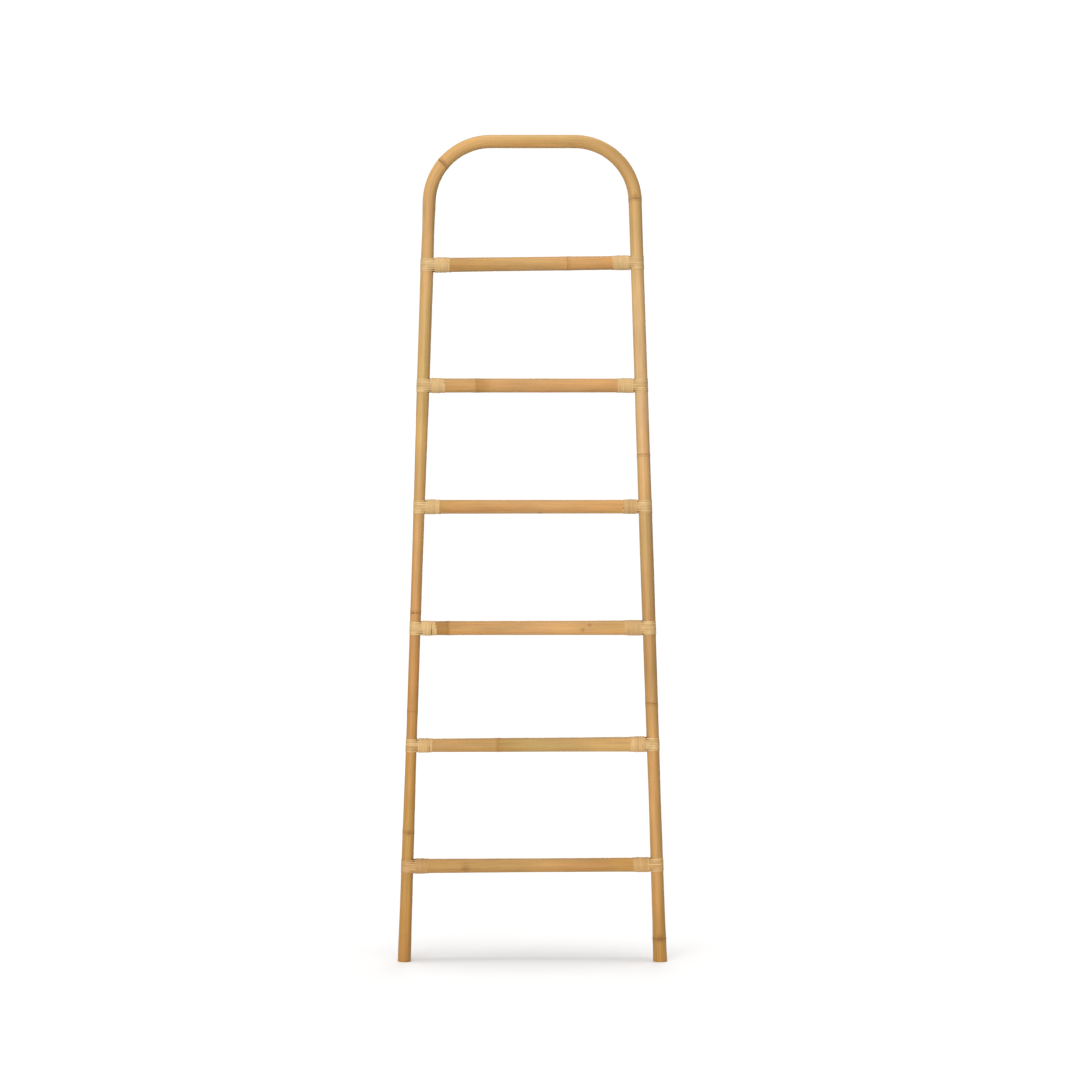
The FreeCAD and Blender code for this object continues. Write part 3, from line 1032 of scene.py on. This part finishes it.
@dataclass
class Joint:
    """Where one rung meets one side of the hoop, and the directions round it."""

    hoop: Hoop
    rung: Rung
    side: Side
    peel_thickness: float = 0.7 * MM
    peel_width: float = 3.45 * MM
    peel_bevel: float = 0.22 * MM
    peel_dome: float = 0.12  # how much lower the skin is at its edges, of the thickness
    fit: float = 0.05 * MM
    start_gap: float = 2.2 * MM
    tail_gap: float = 0.4 * MM  # from the tails' ends to where the winding steps down
    saddle_reach: float = 15.0 * MM  # how far up and down the hoop the saddle goes
    usual_pitch: float = 3.64 * MM
    bare_turns: int = 3  # turns past the tails, straight on the rung

    def __post_init__(self) -> None:
        """Work out where the centre lines cross and how the peel sits on the canes."""
        slope = self.rung.slope(self.hoop)
        sign = self.side.value
        x = sign * self.rung.reach(self.hoop) / (1.0 + sign * self.hoop.slope * slope)
        self.origin = Vector((x, 0, self.rung.height * MM + slope * x))
        self.upwards = self.hoop.up(self.side)
        self.inwards = Vector((-sign, 0, -self.hoop.slope)).normalized()
        self.along = Vector((-sign, 0, -sign * slope)).normalized()
        self.above = Vector((-slope, 0, 1)).normalized()
        heights = [self.origin.z + step * self.saddle_reach for step in (-1, 0, 1)]
        self.pole = max(self.hoop.radius(self.side, height) for height in heights)
        self.start = self.pole + self.start_gap
        self.end = self.pole + self.rung.windings[self.side] * MM
        turns = round((self.end - self.start) / self.usual_pitch)
        self.pitch = (self.end - self.start) / turns
        self.step_down = self.end - (self.bare_turns + 1) * self.pitch
        self.tail_end = self.step_down - self.tail_gap
        self.stick = max(self.rung_radius(self.pole), self.rung_radius(self.end))
        corner = math.hypot(self.stick + self.fit + self.peel_thickness, self.peel_width / 2)
        self.over_tails = corner + self.fit
        bare = max(self.rung_radius(self.end), self.rung_radius(self.tail_end))
        self.over_rung = bare + self.fit

    @property
    def name(self) -> str:
        """The joint's name in its pieces."""
        return f"{self.side.word}_{self.rung.number}"

    @property
    def seed(self) -> int:
        """A number of its own for this joint's small irregularities."""
        return self.rung.number * 10 + (self.side is Side.RIGHT)

    def rung_radius(self, reach: float) -> float:
        """Bare radius of the rung at a distance from the hoop's centre line."""
        return self.rung.radius(self.hoop, self.origin.x + self.along.x * reach)

    def inner_radius(self, reach: float) -> float:
        """Inside of the winding: over the tails first, then down on the bare rung."""
        lower = (self.step_down + self.pitch, self.over_rung)
        return between(((self.step_down, self.over_tails), lower), reach)

    def section(self, surface: Surface) -> bmesh.types.BMFace:
        """Draw the section of a strip: flat inside, a slightly domed skin outside.

        Args:
            surface: the mesh to draw in.

        Returns:
            The section's face, centred, with its skin towards +Y.
        """
        bm = surface.bm
        square = bmesh.ops.create_grid(bm, x_segments=1, y_segments=1, size=0.5)["verts"]
        bmesh.ops.scale(bm, verts=square, vec=(self.peel_width, self.peel_thickness, 1.0))
        skin = [edge for edge in bm.edges if all(vert.co.y > 0 for vert in edge.verts)]
        bmesh.ops.subdivide_edges(bm, edges=skin, cuts=3)
        corners = [vert for vert in bm.verts if abs(vert.co.x) > 0.49 * self.peel_width]
        bmesh.ops.bevel(
            bm,
            geom=corners,
            offset=self.peel_bevel,
            segments=2,
            profile=0.5,
            affect="VERTICES",
            material=-1,
        )
        dome = self.peel_dome * self.peel_thickness
        for vert in bm.verts:
            if vert.co.y > 0:
                vert.co.y -= dome * (2.0 * vert.co.x / self.peel_width) ** 2
        return bm.faces[:][0]

    def settle_peel(
        self, surface: Surface, tone: float, offset: float
    ) -> Callable[[bmesh.types.BMVert, Vector, Stop], None]:
        """Make the function that lays a strip's section at its stops.

        Args:
            surface: the mesh being made.
            tone: how light this strip is.
            offset: shifts its fibre pattern so that no two strips match.

        Returns:
            A function for Surface.run.
        """
        half = self.peel_width / 2.0

        def settle(vert: bmesh.types.BMVert, point: Vector, stop: Stop) -> None:
            """Put one point of the strip's section in its place.

            Args:
                vert: the point in the mesh.
                point: the point in the section.
                stop: the place along the strip.
            """
            vert.co = stop.place @ (point * stop.radius)
            vert[surface.grain] = (point.x + offset, point.y, stop.along + offset)
            edge = abs(point.x) / half
            inside = 1.0 if point.y < 0 else 0.0
            vert[surface.marks[Mark.EDGE]] = max(inside, edge**4)
            vert[surface.marks[Mark.TONE]] = tone

        return settle


@dataclass
class Saddle:
    """Eight strips pulled round the outside of the hoop, their tails on the rung."""

    joint: Joint
    strips: int = 8
    wrap_steps: int = 26
    touch_gap: float = 0.6 * MM  # a tail is down on the rung this far before the winding
    landing_run: float = 3.0 * MM  # and lies quite straight from this much further on
    bridge: tuple[float, ...] = (1.0, 0.8, 0.6, 0.4, 0.2)  # stops from rung to hoop
    tone_spread: float = 0.3  # how much lighter or darker one strip may be
    sway_spread: float = 0.07 * MM  # and how much higher or lower it may sit

    def path(self, height: float, sway: float) -> list[Stop]:
        """The way of one strip: tail, hoop, and the other tail.

        Args:
            height: the strip's height on the hoop over the rung's centre line.
            sway: a small extra height at the back and front of the hoop.

        Returns:
            The strip's stops from its front tail's end to its back one's.
        """
        joint = self.joint
        half = joint.peel_thickness / 2.0
        round_hoop = joint.pole + joint.fit + half
        round_stick = joint.stick + joint.fit + half
        tilt = math.asin(height / round_stick)
        depth = round_stick * math.cos(tilt)
        edge_depth = depth + joint.peel_width / 2.0 * math.sin(abs(tilt))
        clears = edge_depth > round_hoop
        touch = joint.rung.setback if clears else joint.start - self.touch_gap
        leave = math.atan2(depth, touch) + math.acos(round_hoop / math.hypot(depth, touch))
        foot = joint.origin + joint.upwards * (height + sway)
        ends = []
        for face in (FRONT, -FRONT):
            out = joint.inwards * math.cos(leave) + face * math.sin(leave)
            start = foot + out * round_hoop
            rest = face * math.cos(tilt) + joint.above * math.sin(tilt)
            landing = joint.origin + joint.along * touch + rest * round_stick
            way = [(landing + joint.along * (joint.tail_end - touch), rest)]
            way.append((landing + joint.along * self.landing_run, rest))
            for share in self.bridge:
                # the strip twists smoothly from level on the hoop to its tilt on the rung
                done = share**3 * (10.0 - 15.0 * share + 6.0 * share**2)
                turn = tilt * done
                out_here = face * math.cos(turn) + joint.above * math.sin(turn)
                way.append((start.lerp(landing, share), out_here))
            ends.append(way)
        points = list(ends[0])
        span = 2.0 * (math.pi - leave)
        for step in range(self.wrap_steps + 1):
            angle = leave + span * step / self.wrap_steps
            out = joint.inwards * math.cos(angle) + FRONT * math.sin(angle)
            points.append((foot + out * round_hoop, out))
        points += reversed(ends[1])
        return stops_through(points)

    def build(self, peel: bpy.types.Material) -> bpy.types.Object:
        """Build the strips of this joint as one piece.

        Args:
            peel: the finish of the strips.

        Returns:
            The finished piece.
        """
        joint = self.joint
        chance = random.Random(joint.seed)
        base_tone = joint.rung.peel_tones[joint.side][1]
        whole = Surface()
        middle = (self.strips - 1) / 2.0
        for row in range(self.strips):
            strip = Surface()
            cap = joint.section(strip)
            tone = base_tone + chance.uniform(-self.tone_spread, self.tone_spread)
            tone = min(1.0, max(0.0, tone))
            settle = joint.settle_peel(strip, tone, chance.uniform(0.0, 1.0))
            height = (row - middle) * joint.usual_pitch
            sway = chance.uniform(-self.sway_spread, self.sway_spread)
            strip.run(cap, self.path(height, sway), settle)
            bmesh.ops.recalc_face_normals(strip.bm, faces=strip.bm.faces)
            spare = bpy.data.meshes.new("strip")
            strip.bm.to_mesh(spare)
            strip.bm.free()
            whole.bm.from_mesh(spare)
            bpy.data.meshes.remove(spare)
        name = f"saddle_{joint.name}"
        return whole.finish(f"{name}_strips", f"peel_{name}", "cane_peel", peel)


@dataclass
class Winding:
    """One strip wound round the rung, from the hoop out to the brad at its end."""

    joint: Joint
    steps: int = 34  # places round each turn
    slip_gap: float = 1.1 * MM  # how far a slipped turn has opened, where there is one
    gap_shade_span: float = 0.22 * math.pi  # half of the way round over which shade is painted beside the gap
    slip_spare: float = 0.7  # the most of the turns' spare room that the gap may take
    gap_shade_core: float = 0.1  # the middle of the strip that is left without painted shade, of its width
    top_slack: float = 0.35 * MM  # the turns sit lower where no tails lie under them
    loose: float = 0.05 * MM  # how far a turn may stand off what lies under it
    loose_angle: float = 1.7  # radians over which that comes and goes
    drift: float = 0.16 * MM  # how far the turns stray from an even helix
    drift_angle: float = 5.0  # radians over which that comes and goes
    past_brad: float = math.radians(14.0)  # the strip ends this far past its brad
    tone_drift: float = 0.3
    tone_length: float = 130.0 * MM

    @property
    def total(self) -> float:
        """All the angle that the strip turns through, in radians."""
        joint = self.joint
        return 2.0 * math.pi * (joint.end - joint.start - joint.peel_width) / joint.pitch

    def past_slip(self, turned: float) -> float | None:
        """Angle from the middle of the slipped turn, or None where no turn has slipped."""
        slipped = self.joint.rung.slips.get(self.joint.side)
        return None if slipped is None else turned - 2.0 * math.pi * slipped

    def pushed(self, turned: float) -> float:
        """How far the strip is pushed along the rung beside a slipped turn.

        Args:
            turned: angle wound so far, radians.

        Returns:
            Metres away from the hoop.
        """
        past = self.past_slip(turned)
        if past is None:
            return 0.0
        room = self.total - turned + past if past > 0 else turned - past
        spare = (self.joint.pitch - self.joint.peel_width) * self.total / (2.0 * math.pi)
        gap = min(self.slip_gap, self.slip_spare * spare)
        return 0.5 * gap * math.tanh(2.0 * past / math.pi) * (1.0 - abs(past) / room)

    def gap_shaded(self, point: Vector, stop: Stop) -> bool:
        """Whether a point of the strip lies beside the gap of a slipped turn, where shade is
        painted.

        Args:
            point: the point in the strip's section.
            stop: the place along the strip.

        Returns:
            True beside the gap.
        """
        past = self.past_slip(stop.share * self.total)
        if past is None or abs(abs(past) - math.pi) > self.gap_shade_span:
            return False
        outward = point.x * stop.place.col[0].xyz.dot(self.joint.along)
        core = self.gap_shade_core * self.joint.peel_width
        return outward * past < 0 and abs(point.x) > core

    def path(self) -> list[Stop]:
        """The winding's stops along its helix.

        Returns:
            The stops, from the hoop out to the brad.
        """
        joint = self.joint
        half = joint.peel_width / 2.0
        first = joint.start + half
        last = joint.end - half
        total = self.total
        finish = math.radians(joint.rung.brads[joint.side]) + self.past_brad
        count = round(total / (2.0 * math.pi) * self.steps)
        points = []
        for step in range(count + 1):
            turned = total * step / count
            angle = finish - (total - turned)
            reach = first + (last - first) * step / count
            drift = noise.noise(Vector((turned / self.drift_angle, joint.seed * 3.7, 0.0)))
            reach += drift * self.drift * math.sin(math.pi * step / count)
            reach += self.pushed(turned)
            lift = noise.noise(Vector((turned / self.loose_angle, 0.0, joint.seed * 1.3)))
            radius = joint.inner_radius(reach) + joint.peel_thickness / 2.0
            radius += abs(lift) * self.loose
            if reach < joint.step_down:
                radius -= self.top_slack * math.sin(angle) ** 8
            out = FRONT * math.cos(angle) + joint.above * math.sin(angle)
            points.append((joint.origin + joint.along * reach + out * radius, out))
        made = stops_through(points)
        for step, stop in enumerate(made):
            stop.share = step / count
        return made

    def build(self, peel: bpy.types.Material) -> bpy.types.Object:
        """Build the winding.

        Args:
            peel: the finish of the strip.

        Returns:
            The finished piece.
        """
        joint = self.joint
        surface = Surface()
        cap = joint.section(surface)
        tone = joint.rung.peel_tones[joint.side][0]
        base = joint.settle_peel(surface, tone, joint.seed * 0.37)

        def settle(vert: bmesh.types.BMVert, point: Vector, stop: Stop) -> None:
            """Lay the strip, its tone drifting slowly from turn to turn.

            Args:
                vert: the point in the mesh.
                point: the point in the section.
                stop: the place along the strip.
            """
            base(vert, point, stop)
            place = Vector((stop.along / self.tone_length, joint.seed * 2.3, 0.0))
            drifted = tone + self.tone_drift * noise.noise(place)
            vert[surface.marks[Mark.TONE]] = min(1.0, max(0.0, drifted))
            vert[surface.marks[Mark.EDGE]] *= joint.rung.peel_lines[joint.side]
            # painted shade: the dark edge colour is laid on the strip beside the slipped
            # turn's gap
            if self.gap_shaded(point, stop):
                vert[surface.marks[Mark.EDGE]] = 1.0

        surface.run(cap, self.path(), settle)
        name = f"winding_{joint.name}"
        return surface.finish(f"{name}_strip", f"peel_{name}", "cane_peel", peel)


# --- the whole rack -----------------------------------------------------------------


# the tones run along the pole from its left foot to its right one
HOOP_SKIN = CaneSkin(
    "rattan_hoop_skin",
    tones=(
        (0.00, "#AA7B3F"), (0.07, "#AD8244"), (0.13, "#AF7F44"), (0.19, "#B98851"),
        (0.26, "#C2975F"), (0.32, "#C49D60"), (0.39, "#C59E67"), (0.44, "#C39961"),
        (0.50, "#C1975A"), (0.56, "#BC935C"), (0.59, "#BE9962"), (0.63, "#D4AC76"),
        (0.68, "#CBA676"), (0.74, "#BF9762"), (0.80, "#AD8855"), (0.87, "#AF8650"),
        (0.94, "#AE834E"), (1.00, "#AB7F40"),
    ),
    stains=(
        Stain((-0.195, -0.010, 1.738), 0.010, 0.5),
        Stain((-0.268, -0.012, 0.281), 0.009, 0.55),
        Stain((0.277, -0.013, 0.052), 0.012, 0.6),
        Stain((0.224, -0.013, 1.664), 0.010, 0.45),
    ),
)

RUNGS = (
    Rung(
        1, 1519.0, 5.5, (31.2, 30.4, 29.8), [(77.0, 0.45)],
        sides(38.0, 42.0), sides(-110.0, -115.0),
        ((0.0, "#B5884D"), (0.5, "#C1965D"), (0.66, "#B98A55"), (1.0, "#BA8950")),
        sides((0.93, 0.93), (0.98, 0.97)), sides(0.75, 0.6),
    ),
    Rung(
        2, 1254.0, 0.0, (30.9, 30.6, 30.2), [(-122.0, 0.3)],
        sides(35.0, 40.0), sides(18.0, -120.0),
        ((0.0, "#B88B54"), (0.232, "#BA8D55"), (0.236, "#AC7E46"), (0.27, "#B08249"),
         (0.31, "#BD8F5A"), (0.5, "#BF915C"), (1.0, "#BD8E58")),
        sides((0.9, 0.8), (0.82, 0.8)), sides(0.65, 0.65),
    ),
    Rung(
        3, 990.0, 0.5, (30.4, 30.0, 29.8), [],
        sides(35.0, 35.0), sides(-105.0, -12.0),
        ((0.0, "#B2864D"), (0.5, "#BE905B"), (1.0, "#BB8D54")),
        sides((0.78, 0.9), (0.42, 0.78)), sides(0.6, 1.0),
        (Stain((0.017, -0.004, 0.976), 0.008, 0.7),),
    ),
    Rung(
        4, 726.0, 1.0, (30.7, 31.2, 32.0), [(-181.0, 0.3)],
        sides(36.0, 41.0), sides(8.0, -118.0),
        ((0.0, "#A2763F"), (0.13, "#9E723B"), (0.136, "#B5874F"), (0.5, "#BD915E"),
         (1.0, "#BD9258")),
        sides((0.9, 0.95), (0.5, 0.8)), sides(0.8, 0.9),
        (
            Stain((0.110, -0.014, 0.722), 0.007, 0.5),
            Stain((0.125, -0.013, 0.732), 0.006, 0.45),
        ),
        {Side.LEFT: 5.4},
    ),
    Rung(
        5, 471.5, 3.0, (29.1, 30.6, 32.4), [(-75.0, 0.3)],
        sides(37.0, 38.0), sides(-122.0, -108.0),
        ((0.0, "#B28A56"), (0.348, "#AE854D"), (0.352, "#A57B44"), (0.4, "#A68148"),
         (0.5, "#AC8B54"), (1.0, "#BA935B")),
        sides((0.55, 0.45), (0.62, 0.72)), sides(1.0, 0.9),
        slips={Side.LEFT: 6.7},
    ),
    Rung(
        6, 209.0, 3.5, (31.3, 30.1, 30.7), [],
        sides(35.0, 41.0), sides(-112.0, -116.0),
        ((0.0, "#A47C47"), (0.5, "#AC854F"), (0.75, "#A57B47"), (1.0, "#A97F3E")),
        sides((0.03, 0.1), (0.25, 0.36)), sides(0.8, 0.7),
        (Stain((-0.145, -0.012, 0.205), 0.014, 0.45),),
    ),
)


@dataclass
class Rack:
    """The whole ladder rack."""

    hoop: Hoop = field(default_factory=Hoop)
    hoop_skin: CaneSkin = HOOP_SKIN
    rungs: Sequence[Rung] = RUNGS

    def build(self) -> None:
        """Build every piece, from the hoop to the bindings."""
        self.report(self.hoop.build(self.hoop_skin, CutCane()))
        for rung in self.rungs:
            self.report(rung.build(self.hoop))
        peel = CanePeel("rattan_peel_binding").make()
        for rung in self.rungs:
            for side in Side:
                joint = Joint(self.hoop, rung, side)
                self.report(Saddle(joint).build(peel))
                self.report(Winding(joint).build(peel))
        self.dress_steel()

    def dress_steel(self) -> None:
        """Give the carried screws and brads their metal."""
        finishes = {
            STEEL_SCREWS: Steel("zinc_plated_steel", "#C9C4B4", "#A69F8A", 0.38),
            STEEL_BRADS: Steel("darkened_steel_wire", "#54453A", "#2C221B", 0.5),
        }
        for name, finish in finishes.items():
            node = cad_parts[name]
            node.data.materials.clear()
            node.data.materials.append(finish.make())
            self.report(node)

    @staticmethod
    def report(piece: bpy.types.Object) -> None:
        """Say how large a finished piece is."""
        size = " x ".join(f"{value / MM:.1f}" for value in piece.dimensions)
        log.info("%s: %s mm, %d faces", piece.name, size, len(piece.data.polygons))


# --- the studio ---------------------------------------------------------------------


@dataclass
class Studio:
    """A plain pale floor and soft light, mostly from above and from the front left."""

    floor_reach: float = 1.0
    floor_colour: str = "#F8F8F8"
    backdrop_light: float = 1.05
    room_light: float = 0.22
    camera_place: tuple[float, float, float] = (0.0170, -5.555, 0.9175)
    lens: float = 85.0

    def floor(self) -> None:
        """Lay the floor: matt white paint, which takes a soft shadow and has no shine."""
        bm = bmesh.new()
        bmesh.ops.create_grid(bm, x_segments=1, y_segments=1, size=self.floor_reach)
        mesh = bpy.data.meshes.new("studio_floor")
        bm.to_mesh(mesh)
        bm.free()
        material, tree = blank_material("matt_painted_floor")
        inputs = {"Base Color": linear(self.floor_colour), "Roughness": 0.9}
        inputs["Specular IOR Level"] = 0.1
        shader = add(tree, "ShaderNodeBsdfPrincipled", inputs)
        add(tree, "ShaderNodeOutputMaterial", {"Surface": shader.outputs[0]})
        mesh.materials.append(material)
        floor = bpy.data.objects.new("studio_floor", mesh)
        bpy.context.scene.collection.objects.link(floor)

    def room(self) -> None:
        """Light the room evenly in soft grey, with white walls to be seen and reflected."""
        world = bpy.data.worlds.new("studio_room")
        world.use_nodes = True
        tree = world.node_tree
        tree.nodes.clear()
        path = add(tree, "ShaderNodeLightPath")
        rays = {0: path.outputs["Is Camera Ray"], 1: path.outputs["Is Glossy Ray"]}
        seen = add(tree, "ShaderNodeMath", rays, operation="MAXIMUM")
        inputs = {0: seen.outputs[0]}
        for number, strength in enumerate((self.room_light, self.backdrop_light), 1):
            white = {"Color": grey(1.0), "Strength": strength}
            inputs[number] = add(tree, "ShaderNodeBackground", white).outputs[0]
        both = add(tree, "ShaderNodeMixShader", inputs)
        add(tree, "ShaderNodeOutputWorld", {"Surface": both.outputs[0]})
        bpy.context.scene.world = world

    def sun(
        self, name: str, towards: tuple[float, float, float], power: float, width: float
    ) -> None:
        """Add one broad, even light.

        Args:
            name: the light's name.
            towards: which way its light travels.
            power: its strength in watts for each square metre.
            width: how many degrees of the sky it fills.
        """
        light = bpy.data.lights.new(name, "SUN")
        light.energy = power
        light.angle = math.radians(width)
        lamp = bpy.data.objects.new(name, light)
        lamp.rotation_mode = "QUATERNION"
        lamp.rotation_quaternion = Vector(towards).to_track_quat("-Z", "Y")
        bpy.context.scene.collection.objects.link(lamp)

    def camera(self) -> None:
        """Set the camera square on to the rack."""
        data = bpy.data.cameras.new("camera")
        data.lens = self.lens
        data.sensor_width = 36.0
        eye = bpy.data.objects.new("camera", data)
        eye.location = self.camera_place
        eye.rotation_euler = (math.radians(90.0), 0.0, 0.0)
        bpy.context.scene.collection.objects.link(eye)
        bpy.context.scene.camera = eye

    def build(self) -> None:
        """Set out the floor, the lights and the camera."""
        self.floor()
        self.room()
        self.sun("softbox_above", (0.0, 0.045, -1.0), 2.07, 23.0)
        self.sun("softbox_front_left", (0.30, 1.0, -0.1), 2.93, 40.0)
        self.sun("softbox_behind", (-0.2, -1.0, -0.1), 1.5, 40.0)
        self.camera()
        bpy.context.scene.view_settings.view_transform = "Standard"


def main() -> None:
    """Build the rack and its studio; the rack logs the size of each finished piece."""
    logging.basicConfig(level=logging.INFO, format="%(name)s: %(message)s")
    Rack().build()
    Studio().build()


if __name__ == "__main__":
    main()
